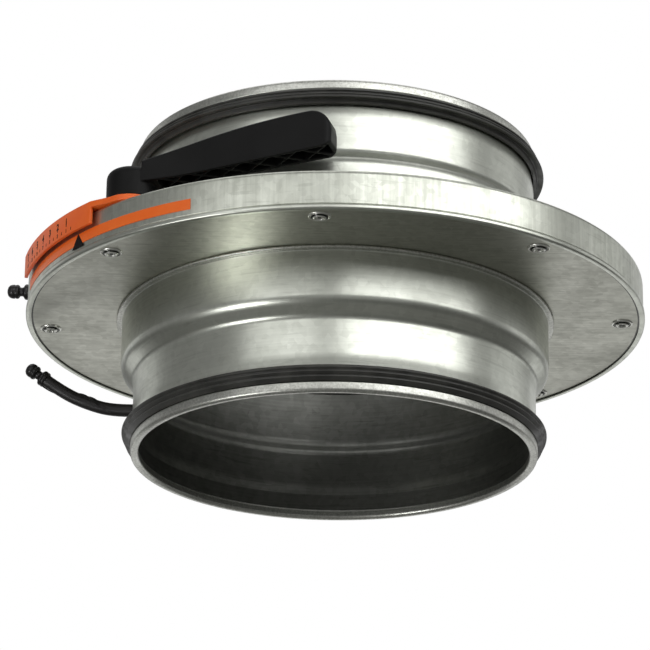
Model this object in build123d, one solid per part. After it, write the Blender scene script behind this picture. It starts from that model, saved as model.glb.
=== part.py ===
from build123d import *
import os
from math import atan, cos, degrees, radians, sin, tan

os.makedirs("parts", exist_ok=True)

# An iris damper for a 200 mm round duct. +Z runs along the duct axis and z = 0 is the mouth
# of the lower spigot. Everything is in millimetres and degrees. Azimuths are seen from +Z.

# Sheet metal
sheet = 0.8               # galvanised steel
spigot_radius = 99.2      # outside of the spigot wall
spigot_length = 70.0      # mouth to casing plate
neck_radius = 105.8       # wider stretch of the spigot beside the casing
neck_length = 26.4        # casing plate to the start of the step
step_length = 6.0         # conical step between neck and spigot wall
mouth_fold_radius = 99.9  # outside of the rolled mouth
mouth_fold_width = 4.2
mouth_fold_height = 5.0
mouth_fold_corner = 1.3
bead_radius = 108.6       # crimped bead that clinches the spigot to its plate
bead_height = 1.6
inner_flange_radius = 110.0
casing_radius = 152.8     # outside of the rim
casing_height = 19.0
rim_corner_radius = 2.2
hem_stand_out = 0.7       # the hem is this much wider than the rim
hem_height = 2.6
hem_lip_width = 2.8

# Blades and the ring that drives them
blade_count = 8
blade_sheet = 0.6
blade_slope = 0.04        # rise of the blade towards its tail, so that each lies over the next
blade_slope_azimuth = -132.0
blade_inner_radius = 103.0
blade_outer_radius = 149.0
blade_rise = 3.0          # casing plate to the blade's underside, at its pivot
pivot_radius = 142.3
pivot_azimuth = -3.3      # first of the pivots
blade_ratio = -1.15       # blade turn for one degree of ring turn
ring_travel = 24.0
drive_pin_place = 141.0   # radius of the drive pin when the damper is open
drive_pin_azimuth = -15.5
drive_pin_radius = 2.0
ring_inner_radius = 112.0
ring_outer_radius = 145.5
ring_sheet = 1.2
ring_drop = 1.1           # plate to the top of the ring
rivet_radius = 2.0
running_gap = 0.05        # a pin in the hole that turns on it
loose_gap = 0.15          # a pin in its slot, and faces that slide past each other

# Handle and scale
hub_place = 140.0         # radius of the handle's screw
hub_azimuth = -134.0
hub_radius = 12.0
hub_height = 16.0
hub_edge = 4.6            # rounding of the hub's top
handle_azimuth = -15.6    # the way the lever points in plan
handle_length = 99.1
handle_nose = 10.0        # rounding of the lever's tip, seen from the side
handle_root_width = 12.0
handle_tip_width = 15.5
handle_wall = 1.8
handle_crown = 2.4
handle_rib = 1.2
handle_cells = 6          # crossed ribs under the lever
scale_sheet = 3.0         # plate of the scale bracket
scale_flange = 1.7
scale_gap = 0.3           # bracket to the casing's top
scale_clearance = 1.5     # bracket's flange to the rim
scale_drop = 11.3         # how far the flange reaches down from the bracket's top
scale_start = -168.0
scale_end = -138.2
tongue_inner_radius = 128.0
screw_radius = 2.5
slot_gap = 0.3
scale_rivet_azimuth = -147.5

# Label on the rim
label_start = -168.0
label_end = -116.3
label_low = 4.8           # above the casing's underside
label_height = 5.3
label_thickness = 0.2
label_gap = 0.04          # glue line
pointer_azimuth = -143.0
pointer_width = 9.6
pointer_height = 7.0

# Measuring hoses
nipple_azimuth = 168.0
nipple_height = 31.6      # from the spigot's mouth
hose_radius = 3.2
barb_radius = 2.0
barb_length = 9.0
nipple_flange_radius = 4.2
nipple_flange = 1.2

plate_low = spigot_length
casing_top = spigot_length + casing_height
middle = spigot_length + casing_height / 2
total_length = 2 * spigot_length + casing_height
inner_low = plate_low + sheet
blade_height = plate_low + blade_rise
inner_top = casing_top - sheet
ring_top = inner_top - ring_drop
ring_low = ring_top - ring_sheet
fold_top = mouth_fold_height

nodes = {}


def polar(radius, azimuth, height=0.0):
    return Vector(radius * cos(radians(azimuth)), radius * sin(radians(azimuth)), height)


def turned(points, radii=0.0):
    """A closed (radius, height) outline turned about the duct axis."""
    outline = FilletPolyline(*[(r, 0, z) for r, z in points], radius=radii, close=True)
    return revolve(make_face(outline), Axis.Z)


def disc(radius, low, high, centre=Vector(0, 0, 0)):
    return Pos(centre.X, centre.Y, low) * Cylinder(
        radius, high - low, align=(Align.CENTER, Align.CENTER, Align.MIN)
    )


def tube(inner, outer, low, high, centre=Vector(0, 0, 0)):
    return disc(outer, low, high, centre) - disc(inner, low - 1, high + 1, centre)


def upside_down(shape):
    """The upper side's copy of a lower piece, turned over about the line of the nipples."""
    return shape.rotate(Axis((0, 0, middle), polar(1, nipple_azimuth)), 180)


def sector(inner, outer, low, high, start, end):
    """Part of a ring between two azimuths."""
    mid = (start + end) / 2
    line = [
        ThreePointArc(polar(outer, start), polar(outer, mid), polar(outer, end)),
        Line(polar(outer, end), polar(inner, end)),
        ThreePointArc(polar(inner, end), polar(inner, mid), polar(inner, start)),
        Line(polar(inner, start), polar(outer, start)),
    ]
    return extrude(Pos(0, 0, low) * make_face(line), high - low)


def each_blade(shape):
    """The same thing at every blade."""
    return [Rot(0, 0, pivot_azimuth + 360 / blade_count * k) * shape for k in range(blade_count)]


# Casing


def spigot():
    """Lower spigot: flange, bead, neck, step, wall and rolled mouth, drawn from one sheet."""
    step_top = plate_low - neck_length
    step_low = step_top - step_length
    lean = sheet * tan(atan((neck_radius - spigot_radius) / step_length) / 2)
    outer = FilletPolyline(
        (inner_flange_radius, 0, inner_low),
        (neck_radius, 0, inner_low),
        (neck_radius, 0, plate_low),
        (bead_radius, 0, plate_low),
        (bead_radius, 0, plate_low - bead_height),
        (neck_radius, 0, plate_low - bead_height),
        (neck_radius, 0, step_top),
        (spigot_radius, 0, step_low),
        (spigot_radius, 0, mouth_fold_height / 2),
        radius=[0, 0, 0, 0.75, 0.75, 3.5, 3.0],
    )
    inner = FilletPolyline(
        (spigot_radius - sheet, 0, mouth_fold_height / 2),
        (spigot_radius - sheet, 0, step_low - lean),
        (neck_radius - sheet, 0, step_top - lean),
        (neck_radius - sheet, 0, inner_low + sheet),
        (inner_flange_radius, 0, inner_low + sheet),
        radius=[3.0 + sheet, 3.5 - sheet, 0.6],
    )
    low_end = Line(outer @ 1, inner @ 0)
    flange_end = Line(inner @ 1, outer @ 0)
    wall = revolve(make_face([*outer.edges(), low_end, *inner.edges(), flange_end]), Axis.Z)
    fold_inner = mouth_fold_radius - mouth_fold_width
    fold = turned(
        [
            (fold_inner, 0),
            (mouth_fold_radius, 0),
            (mouth_fold_radius, mouth_fold_height),
            (fold_inner, mouth_fold_height),
        ],
        mouth_fold_corner,
    )
    out = polar(1, nipple_azimuth)
    hole = Plane(origin=polar(90, nipple_azimuth, nipple_height), z_dir=out)
    return wall + fold - extrude(hole * Circle(barb_radius + 2 * running_gap), 20)


def gasket():
    """Rubber ring with two lips that lean towards the casing."""
    base = spigot_radius
    low = fold_top + 0.1
    return turned(
        [
            (base, low),
            (base + 1.2, low),
            (base + 3.2, low + 1.7),
            (base + 3.1, low + 2.4),
            (base + 2.0, low + 2.5),
            (base + 5.1, low + 5.1),
            (base + 5.2, low + 5.9),
            (base + 4.3, low + 6.1),
            (base + 1.8, low + 5.2),
            (base + 1.4, low + 8.0),
            (base, low + 8.0),
        ],
        [0, 0.4, 0.25, 0.25, 0.3, 0.35, 0.3, 0.3, 0.4, 0.4, 0],
    )


def lower_plate():
    plate = tube(neck_radius + running_gap, casing_radius - sheet - 0.1, plate_low, inner_low)
    for hole in each_blade(disc(rivet_radius, plate_low - 1, inner_low + 1, Vector(pivot_radius, 0, 0))):
        plate -= hole
    return plate


def upper_casing():
    """Pan with a rounded rim, whose hem is folded under the edge of the lower plate."""
    hem_radius = casing_radius + hem_stand_out
    hem_low = plate_low - sheet
    hem_top = hem_low + hem_height
    groove = 0.5
    pan = turned(
        [
            (neck_radius + running_gap, inner_top),
            (casing_radius - sheet, inner_top),
            (casing_radius - sheet, plate_low),
            (hem_radius - hem_lip_width, plate_low),
            (hem_radius - hem_lip_width, hem_low),
            (hem_radius, hem_low),
            (hem_radius, hem_top),
            (casing_radius - groove, hem_top),
            (casing_radius, hem_top + groove),
            (casing_radius, casing_top),
            (neck_radius + running_gap, casing_top),
        ],
        [0, rim_corner_radius - sheet, 0, 0.3, 0.3, 0.7, 0.6, 0.1, 0.2, rim_corner_radius, 0],
    )
    way = ThreePointArc(
        polar(hub_place, scale_rivet_azimuth, inner_top - 1),
        polar(hub_place, (scale_rivet_azimuth + hub_azimuth + ring_travel) / 2, inner_top - 1),
        polar(hub_place, hub_azimuth + ring_travel, inner_top - 1),
    )
    spacer = screw_radius + sheet
    return pan - extrude(SlotArc(way, 2 * (spacer + slot_gap)), sheet + 2, dir=(0, 0, 1))


def pivot_rivets():
    """Eight shouldered rivets: tubular head below the plate, collar, shank, head over the blade."""
    centre = Vector(pivot_radius, 0, 0)
    head = 4.3
    top = blade_height + blade_sheet + 0.45
    rivet = disc(rivet_radius, plate_low - 0.5, top, centre)
    rivet += disc(head, plate_low - 0.5, plate_low, centre)
    rivet += tube(1.7, 3.3, plate_low - 1.3, plate_low - 0.4, centre)
    rivet -= disc(1.0, plate_low - 1.4, plate_low - 0.4, centre)
    rivet += disc(head, inner_low, blade_height - 0.3, centre)
    rivet += disc(3.4, top - 0.1, top + 0.45, centre)
    outside = rivet.edges().filter_by(GeomType.CIRCLE).group_by(Axis.Z)[0]
    return each_blade(fillet(outside, 0.3))


# Iris


def blade():
    """Crescent that spans a quarter of the casing, lying clockwise of its pivot."""
    inner, outer = blade_inner_radius, blade_outer_radius
    tail = Vector(*polar(109.0, -84.0))
    outline = [
        Line(polar(inner, 6), polar(outer, 3.4)),
        ThreePointArc(polar(outer, 3.4), polar(outer, -20), polar(outer, -42)),
        ThreePointArc(polar(outer, -42), polar(134.2, -60), tail),
        Line(tail, polar(inner, -83)),
        ThreePointArc(polar(inner, -83), polar(inner, -40), polar(inner, 6)),
    ]
    flat = make_face(outline)
    flat = fillet(flat.vertices().group_by(Axis.X)[-1], 6)
    flat = fillet(flat.vertices().sort_by(Axis.Y)[0:2], 2)
    plate = extrude(flat, blade_sheet)
    plate -= disc(rivet_radius + running_gap, -1, 2, Vector(pivot_radius, 0, 0))
    plate -= disc(drive_pin_radius + running_gap, -1, 2, polar(drive_pin_place, drive_pin_azimuth))
    rise = polar(1, blade_slope_azimuth)
    plate = Pos(0, 0, blade_height) * plate
    lean = Axis((pivot_radius, 0, blade_height), (rise.Y, -rise.X, 0))
    return plate.rotate(lean, degrees(atan(blade_slope)))


def drive_pin():
    """Headed pin that stands up from the blade into its slot in the ring."""
    centre = polar(drive_pin_place, drive_pin_azimuth)
    rise = polar(1, blade_slope_azimuth)
    reach = centre - Vector(pivot_radius, 0, 0)
    low = blade_height + blade_slope * reach.dot(rise)
    collar = 3.2
    slack = blade_slope * collar + 0.06
    pin = disc(drive_pin_radius, low - slack - 0.5, ring_top + 0.5, centre)
    pin += disc(collar, low - slack - 0.5, low - slack, centre)
    pin += disc(collar, low + blade_sheet + slack, low + blade_sheet + slack + 1.2, centre)
    return pin


def cam_slot():
    """The way of the drive pin as the ring sees it, as a slot."""
    pivot = Vector(pivot_radius, 0, 0)
    start = polar(drive_pin_place, drive_pin_azimuth) - pivot

    def place(turn):
        swung = pivot + start.rotate(Axis.Z, blade_ratio * turn)
        return swung.rotate(Axis.Z, -turn)

    way = ThreePointArc(place(0), place(ring_travel / 2), place(ring_travel))
    slot = SlotArc(way, 2 * (drive_pin_radius + loose_gap))
    return extrude(Pos(0, 0, ring_low - 1) * slot, ring_sheet + 2)


def drive_ring():
    ring = tube(ring_inner_radius, ring_outer_radius, ring_low, ring_top)
    for slot in each_blade(cam_slot()):
        ring -= slot
    ring -= disc(screw_radius + running_gap, ring_low - 1, ring_top + 1, polar(hub_place, hub_azimuth))
    ring -= disc(rivet_radius, ring_low - 1, ring_top + 1, polar(hub_place, scale_rivet_azimuth))
    return ring


def ring_guides():
    """Four studs welded inside the pan. The ring turns between them and rests on their heads."""
    shank = 3.0
    centre = polar(ring_outer_radius + shank + loose_gap, 0)
    stud = disc(shank, ring_low - 1.1, inner_top, centre)
    stud += disc(shank + 2.0 - sheet, ring_low - 1.1, ring_low - loose_gap, centre)
    keep = disc(casing_radius - rim_corner_radius - 0.2, 0, total_length)
    return [Rot(0, 0, 20 + 90 * k) * (stud & keep) for k in range(4)]


# Scale bracket and handle


def scale_low():
    return casing_top + scale_gap


def scale_top():
    return scale_low() + scale_sheet


def scale_bracket():
    """Plate on the casing with a flange over the rim, and a tongue round the handle's foot."""
    inside = casing_radius + scale_clearance
    outside = inside + scale_flange
    top = scale_top()
    plate = sector(tongue_inner_radius, outside, scale_low(), top, scale_start, scale_end)
    plate += sector(tongue_inner_radius, casing_radius - 1.5, scale_low(), top, scale_end - 2, hub_azimuth)
    plate += disc(hub_radius + 1.0, scale_low(), top, polar(hub_place, hub_azimuth))
    shoulder = Polyline(
        polar(outside, scale_end),
        polar(hub_place + hub_radius + 0.8, hub_azimuth),
        polar(hub_place, hub_azimuth),
        polar(hub_place, scale_end),
        close=True,
    )
    plate += extrude(Pos(0, 0, scale_low()) * make_face(shoulder), scale_sheet)
    plate += sector(inside, outside, top - scale_drop, top, scale_start, scale_end)
    plate -= disc(screw_radius + running_gap, 0, 200, polar(hub_place, hub_azimuth))
    plate -= disc(rivet_radius, 0, 200, polar(hub_place, scale_rivet_azimuth))
    return plate


def in_handle(along, height, across=0.0):
    """A point of the lever: along it from the hub, over the bracket's top, across it."""
    return polar(hub_place, hub_azimuth) + Vector(along, across, 0).rotate(Axis.Z, handle_azimuth) + Vector(
        0, 0, scale_top() + height
    )


def side_view(shift, margin, end):
    """Side outline of the lever: nearly straight below, arched on top, rounded at the tip."""
    low = [in_handle(0, 6.4 + margin), in_handle(end - 3, 17.0 + margin), in_handle(end, 19.5 + margin)]
    top = 36.0 - shift
    centre = top - handle_nose
    turn = handle_nose * sin(radians(45))
    nose = [in_handle(end, centre), in_handle(end - handle_nose + turn, centre + turn)]
    nose.append(in_handle(end - handle_nose, top))
    crown = in_handle(54, 31.0 - shift)
    root = in_handle(0, 13.5 - shift)
    sides = [Line(root, low[0]), Line(low[0], low[1]), Line(low[1], low[2]), Line(low[2], nose[0])]
    sides += [ThreePointArc(*nose), ThreePointArc(nose[2], crown, root)]
    face = make_face(sides)
    return extrude(face, 15, both=True)


def plan_view():
    """Plan outline of the lever, which widens towards its tip."""
    root, tip, end = handle_root_width / 2, handle_tip_width / 2, handle_length
    corners = [(0, root), (end, tip), (end, -tip), (0, -root)]
    outline = FilletPolyline(
        *[in_handle(a, -5, c) for a, c in corners], radius=[0, 3.0, 3.0, 0], close=True
    )
    return extrude(make_face(outline), 60, dir=(0, 0, 1))


def pocket(corners):
    """A hollow under the lever, from the rib lines given to the underside of the crown."""
    outline = make_face(Polyline(*[in_handle(a, -5, c) for a, c in corners], close=True))
    hollow = extrude(offset(outline, -handle_rib / 2), 60, dir=(0, 0, 1))
    return hollow & side_view(handle_crown, -4, handle_length - handle_wall)


def handle():
    """Moulded lever, open below and stiffened there by crossed ribs, on a round hub."""
    end = handle_length
    hub_centre = polar(hub_place, hub_azimuth)
    body = side_view(0, 0, end) & plan_view()
    start, stop = hub_radius + 2.0, end - handle_wall
    pitch = (stop - start) / handle_cells

    def wall_line(along):
        width = handle_root_width + (handle_tip_width - handle_root_width) * along / end
        return width / 2 - handle_wall + handle_rib / 2

    for k in range(handle_cells):
        left, right = start + pitch * k, start + pitch * (k + 1)
        for side in (-1, 1):
            near, far = (left, side * wall_line(left)), (right, side * wall_line(right))
            body -= pocket([near, far, ((left + right) / 2, 0)])
        if k:
            tip = wall_line(left)
            body -= pocket([(left - pitch / 2, 0), (left, tip), (left + pitch / 2, 0), (left, -tip)])
    hub = disc(hub_radius, scale_top(), scale_top() + hub_height, hub_centre)
    body += fillet(hub.edges().group_by(Axis.Z)[-1], hub_edge)
    body -= disc(screw_radius + running_gap, 0, 200, hub_centre)
    body -= disc(5.2, scale_top() + 9.0, 200, hub_centre)
    return body


def handle_screw():
    """Cap screw through the hub, the bracket, the spacer and the ring."""
    centre = polar(hub_place, hub_azimuth)
    seat = scale_top() + 9.0
    screw = disc(screw_radius, ring_low - 4.6, seat + 1, centre)
    screw += disc(4.4, seat, seat + 4.4, centre)
    socket = Pos(centre.X, centre.Y, seat + 2.0) * extrude(RegularPolygon(2.3, 6), 4)
    return screw - socket


def handle_nut():
    centre = polar(hub_place, hub_azimuth)
    body = Pos(centre.X, centre.Y, ring_low - 3.8) * extrude(RegularPolygon(4.6, 6), 3.8)
    return body - disc(screw_radius, 0, 200, centre)


def spacers():
    """Sleeves in the casing's arc slot that hold the bracket off the ring."""
    made = []
    for azimuth, bore in ((hub_azimuth, screw_radius), (scale_rivet_azimuth, rivet_radius)):
        centre = polar(hub_place, azimuth)
        made.append(tube(bore + running_gap, screw_radius + sheet, ring_top, scale_low(), centre))
    return made


def scale_rivet():
    centre = polar(hub_place, scale_rivet_azimuth)
    rivet = disc(rivet_radius, ring_low - 0.8, scale_top() + 0.8, centre)
    rivet += disc(3.6, ring_low - 0.9, ring_low, centre)
    rivet += disc(3.8, scale_top(), scale_top() + 1.3, centre)
    return fillet(rivet.edges().filter_by(GeomType.CIRCLE).group_by(Axis.Z)[-1], 0.6)


# Label


def index_label():
    low = plate_low + label_low
    inside = casing_radius + label_gap
    return sector(inside, inside + label_thickness, low, low + label_height, label_start, label_end)


def pointer():
    """Triangle printed proud of the label, its tip at the label's top edge."""
    inside = casing_radius + label_gap + label_thickness
    top = plate_low + label_low + label_height
    plane = Plane(origin=polar(inside - 5, pointer_azimuth, top), x_dir=polar(1, pointer_azimuth + 90),
                  z_dir=polar(1, pointer_azimuth))
    half = pointer_width / 2
    corners = Polyline((0, 0), (half, -pointer_height), (-half, -pointer_height), close=True)
    prism = extrude(plane * make_face(corners), 10)
    return prism & tube(inside + label_gap, inside + label_gap + label_thickness, 0, total_length)


# Measuring hoses


def nipple():
    """Lower nipple: saddle flange on the spigot, barb inside the hose."""
    out = polar(1, nipple_azimuth)
    start = polar(spigot_radius - sheet - 2.6, nipple_azimuth, nipple_height)
    plane = Plane(origin=start, z_dir=out)
    stem = extrude(plane * Circle(barb_radius), sheet + 2.6 + nipple_flange + barb_length)
    face = Plane(origin=polar(spigot_radius - 1, nipple_azimuth, nipple_height), z_dir=out)
    flange = extrude(face * Circle(nipple_flange_radius), 1 + nipple_flange)
    body = stem + (flange - disc(spigot_radius, 0, spigot_length))
    bore = extrude(Plane(origin=start - out, z_dir=out) * Circle(barb_radius - 0.8), 30)
    return body - bore


def nipple_nut():
    out = polar(1, nipple_azimuth)
    face = Plane(origin=polar(spigot_radius - sheet - 2.3, nipple_azimuth, nipple_height), z_dir=out)
    return extrude(face * (RegularPolygon(4.4, 6) - Circle(barb_radius)), 2.2)


def hose(points):
    """A bent tube: straight runs joined by arcs as large as the runs allow."""
    radii = []
    for before, at, after in zip(points, points[1:], points[2:]):
        first, second = at - before, after - at
        half = radians(first.get_angle(second)) / 2
        radii.append(0.45 * min(first.length, second.length) / tan(half))
    way = FilletPolyline(*points, radius=radii)
    body = sweep(Plane(origin=points[0], z_dir=points[1] - points[0]) * Circle(hose_radius), path=way)
    print("hose radii", [round(r, 1) for r in radii], "length", round(way.length, 1),
          "volume ratio", round(body.volume / (Circle(hose_radius).area * way.length), 4))
    return body


def cap(points):
    """Closing cap at the end of a hose: collar, waist and ball, with a stem inside the hose."""
    end, way = points[-1], points[-1] - points[-2]
    profile = Polyline((0, 0), (4.0, 0), (4.0, 3.0), (3.0, 3.6), (2.3, 4.2), (2.3, 6.6), (0, 6.6), close=True)
    body = revolve(make_face(Plane.XZ * profile), Axis.Z)
    body += Pos(0, 0, 8.6) * Sphere(3.6)
    body += Pos(0, 0, -6.0) * Cylinder(1.8, 6.5, align=(Align.CENTER, Align.CENTER, Align.MIN))
    return Plane(origin=end, z_dir=way) * body


def hose_route(height, steps):
    """A hose's points: from its nipple, then (outwards, anticlockwise, upwards) of there."""
    start = polar(spigot_radius + nipple_flange, nipple_azimuth, height)
    out, across = polar(1, nipple_azimuth), polar(1, nipple_azimuth + 90)
    return [start] + [start + out * a + across * b + Vector(0, 0, c) for a, b, c in steps]


lower_hose = hose_route(nipple_height, [
    (12.6, -0.0, 0.6),
    (25.4, 2.2, 4.4),
    (37.2, 4.4, 10.0),
    (46.1, 6.0, 16.6),
])
upper_hose = hose_route(total_length - nipple_height, [
    (12.8, -0.9, -1.8),
    (25.1, -3.5, -7.9),
    (36.6, -7.2, -15.9),
    (48.2, -9.1, -22.6),
    (60.6, -8.1, -26.4),
])

nodes["lower_spigot"] = spigot()
nodes["upper_spigot"] = upside_down(nodes["lower_spigot"])
nodes["lower_gasket"] = gasket()
nodes["upper_gasket"] = upside_down(nodes["lower_gasket"])
nodes["lower_plate"] = lower_plate()
nodes["upper_casing"] = upper_casing()
nodes["pivot_rivets"] = pivot_rivets()
nodes["drive_ring"] = drive_ring()
nodes["ring_guides"] = ring_guides()
for number, made in enumerate(each_blade(blade()), 1):
    nodes[f"blade_{number}"] = made
for number, made in enumerate(each_blade(drive_pin()), 1):
    nodes[f"drive_pin_{number}"] = made
nodes["scale_bracket"] = scale_bracket()
nodes["scale_rivet"] = scale_rivet()
nodes["handle"] = handle()
nodes["handle_screw"] = handle_screw()
nodes["handle_nut"] = handle_nut()
nodes["spacers"] = spacers()
nodes["index_label"] = index_label()
nodes["index_pointer"] = pointer()
nodes["lower_nipple"] = nipple()
nodes["upper_nipple"] = upside_down(nodes["lower_nipple"])
nodes["lower_nipple_nut"] = nipple_nut()
nodes["upper_nipple_nut"] = upside_down(nodes["lower_nipple_nut"])
nodes["lower_hose"] = hose(lower_hose)
nodes["upper_hose"] = hose(upper_hose)
nodes["lower_cap"] = cap(lower_hose)
nodes["upper_cap"] = cap(upper_hose)

for name, shape in nodes.items():
    solids = shape if isinstance(shape, list) else [shape]
    export_step(Compound(children=[Solid(s.solids()[0].wrapped) for s in solids]), f"parts/{name}.step")
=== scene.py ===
import math

import bmesh
import bpy
from mathutils import Matrix, Vector


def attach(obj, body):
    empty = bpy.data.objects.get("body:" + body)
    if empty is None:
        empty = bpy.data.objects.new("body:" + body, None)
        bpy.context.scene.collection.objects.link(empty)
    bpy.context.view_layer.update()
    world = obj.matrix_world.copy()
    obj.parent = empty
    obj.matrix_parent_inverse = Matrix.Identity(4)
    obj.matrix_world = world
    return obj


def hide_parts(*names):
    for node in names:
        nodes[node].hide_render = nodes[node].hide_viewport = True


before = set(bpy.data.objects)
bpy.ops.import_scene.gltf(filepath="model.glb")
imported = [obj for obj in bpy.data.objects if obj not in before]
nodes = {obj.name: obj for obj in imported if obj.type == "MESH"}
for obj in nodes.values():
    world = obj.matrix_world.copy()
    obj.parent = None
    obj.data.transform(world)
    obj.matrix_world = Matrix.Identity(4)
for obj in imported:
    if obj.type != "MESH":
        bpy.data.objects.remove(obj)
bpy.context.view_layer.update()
scene = bpy.context.scene
mm = 0.001
totalHigh = 159.0  # mouth to mouth, millimetres
print("frame loaded:", len(nodes), "nodes")

# Camera: low in front of the damper, looking up under its plate; degrees and millimetres
cameraPlace = {
    "aim": 70.0, "below": 20.791, "roll": 0.67548, "distance": 1705.37, "left": 5.07, "up": 0.6,
    "lens": 189.84,
}


def placeCamera(place):
    below, roll = math.radians(place["below"]), math.radians(place["roll"])
    back = Vector((0, -math.cos(below), -math.sin(below)))
    level, up = Vector((1, 0, 0)), Vector((0, -math.sin(below), math.cos(below)))
    side = level * math.cos(roll) + up * math.sin(roll)
    top = up * math.cos(roll) - level * math.sin(roll)
    camera = bpy.data.objects.new("camera", bpy.data.cameras.new("camera"))
    camera.data.lens = place["lens"]
    camera.data.sensor_width = 36
    camera.data.clip_start, camera.data.clip_end = 0.05, 40
    spot = Vector((0, 0, place["aim"])) + back * place["distance"] - side * place["left"] + top * place["up"]
    camera.matrix_world = Matrix.Translation(spot * mm) @ Matrix((side, top, back)).transposed().to_4x4()
    scene.collection.objects.link(camera)
    scene.camera = camera


placeCamera(cameraPlace)


# Shapes shared by several pieces, all in millimetres


def addPiece(name, verts, faces, body, smoothAngle=32):
    mesh = bpy.data.meshes.new(name)
    mesh.from_pydata([Vector(v) * mm for v in verts], [], faces)
    return finishPiece(name, mesh, body, smoothAngle)


def finishPiece(name, mesh, body, smoothAngle=32):
    work = bmesh.new()
    work.from_mesh(mesh)
    bmesh.ops.remove_doubles(work, verts=work.verts, dist=1e-7)
    bmesh.ops.recalc_face_normals(work, faces=work.faces)
    work.to_mesh(mesh)
    work.free()
    smoothTo(mesh, smoothAngle)
    piece = bpy.data.objects.new(name, mesh)
    scene.collection.objects.link(piece)
    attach(piece, body)
    return piece


def smoothTo(mesh, angle):
    mesh.polygons.foreach_set("use_smooth", [True] * len(mesh.polygons))
    mesh.set_sharp_from_angle(angle=math.radians(angle))


def roundCorners(corners, steps=5):
    # closed outline from (x, y, rounding) corners, with an arc of that radius at each
    outline = []
    for i, (x, y, radius) in enumerate(corners):
        here = Vector((x, y))
        if radius == 0:
            outline.append(here)
            continue
        before = (Vector(corners[i - 1][:2]) - here).normalized()
        after = (Vector(corners[(i + 1) % len(corners)][:2]) - here).normalized()
        half = before.angle(after) / 2
        centre = here + (before + after).normalized() * radius / math.sin(half)
        first = here + before * radius / math.tan(half) - centre
        last = here + after * radius / math.tan(half) - centre
        begin = math.atan2(first.y, first.x)
        sweep = (math.atan2(last.y, last.x) - begin + math.pi) % (2 * math.pi) - math.pi
        for k in range(steps + 1):
            angle = begin + sweep * k / steps
            outline.append(centre + Vector((math.cos(angle), math.sin(angle))) * radius)
    return outline


def turnAbout(outline, steps=360, start=0.0, end=360.0):
    # a closed (radius, height) outline turned about Z, with end faces if it isn't a full turn
    whole = abs(end - start) > 359.99
    rows = steps if whole else steps + 1
    count = len(outline)
    verts, faces = [], []
    for s in range(rows):
        angle = math.radians(start + (end - start) * s / steps)
        verts += [(p[0] * math.cos(angle), p[0] * math.sin(angle), p[1]) for p in outline]
    for s in range(steps):
        here, there = s * count, (s + 1) % rows * count
        for k in range(count):
            after = (k + 1) % count
            faces.append((here + k, here + after, there + after, there + k))
    if not whole:
        faces += [tuple(range(count)), tuple(range(steps * count, (steps + 1) * count))]
    return verts, faces


def turnProfile(profile, steps):
    # a profile that starts and ends on the axis, turned about it
    verts = [(0, 0, profile[0][1]), (0, 0, profile[-1][1])]
    inner = profile[1:-1]
    for s in range(steps):
        angle = 2 * math.pi * s / steps
        verts += [(p[0] * math.cos(angle), p[0] * math.sin(angle), p[1]) for p in inner]
    faces = []
    for s in range(steps):
        here, there = 2 + s * len(inner), 2 + (s + 1) % steps * len(inner)
        faces += [(0, there, here), (1, here + len(inner) - 1, there + len(inner) - 1)]
        faces += [(here + k, there + k, there + k + 1, here + k + 1) for k in range(len(inner) - 1)]
    return verts, faces


def prismFaces(count):
    # the faces of a prism whose outline comes first at one end, then at the other
    sides = [(k, (k + 1) % count, count + (k + 1) % count, count + k) for k in range(count)]
    return [tuple(range(count)), tuple(range(count, 2 * count))] + sides


def fromMouth(height, upper):
    return totalHigh - height if upper else height


def turnedOver(verts):
    # the upper side's copy of a lower piece
    return [(x, y, totalHigh - z) for x, y, z in verts]


def polar(radius, azimuth, height=0.0):
    angle = math.radians(azimuth)
    return Vector((radius * math.cos(angle), radius * math.sin(angle), height))


def joined(parts):
    verts, faces = [], []
    for partVerts, partFaces in parts:
        faces += [tuple(i + len(verts) for i in face) for face in partFaces]
        verts += partVerts
    return verts, faces


def applied(piece, kind, **settings):
    # adds a modifier and makes its result the piece's own mesh
    made = piece.modifiers.new(kind.lower(), kind)
    for key, value in settings.items():
        setattr(made, key, value)
    bpy.context.view_layer.update()
    result = bpy.data.meshes.new_from_object(piece.evaluated_get(bpy.context.evaluated_depsgraph_get()))
    piece.modifiers.clear()
    piece.data = result


# Material tools


def sheetColour(code):
    # sRGB hex to linear
    parts = [int(code[i : i + 2], 16) / 255 for i in (1, 3, 5)]
    return tuple(p / 12.92 if p <= 0.04045 else ((p + 0.055) / 1.055) ** 2.4 for p in parts) + (1.0,)


def addNode(tree, kind, links=None, **settings):
    node = tree.nodes.new(kind)
    for key, value in settings.items():
        setattr(node, key, value)
    for socket, value in (links or {}).items():
        if isinstance(value, bpy.types.NodeSocket):
            tree.links.new(value, node.inputs[socket])
        else:
            node.inputs[socket].default_value = value
    return node


def startMaterial(name):
    # an empty material, and its object coordinates in millimetres
    material = bpy.data.materials.new(name)
    material.use_nodes = True
    tree = material.node_tree
    tree.nodes.clear()
    shader = addNode(tree, "ShaderNodeBsdfPrincipled")
    addNode(tree, "ShaderNodeOutputMaterial", {"Surface": shader.outputs[0]})
    place = addNode(tree, "ShaderNodeTexCoord").outputs["Object"]
    inMm = addNode(tree, "ShaderNodeVectorMath", {0: place, 1: (1000, 1000, 1000)}, operation="MULTIPLY")
    return material, tree, shader, inMm.outputs[0]


def wear(piece, material):
    piece.data.materials.clear()
    piece.data.materials.append(material)


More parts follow.
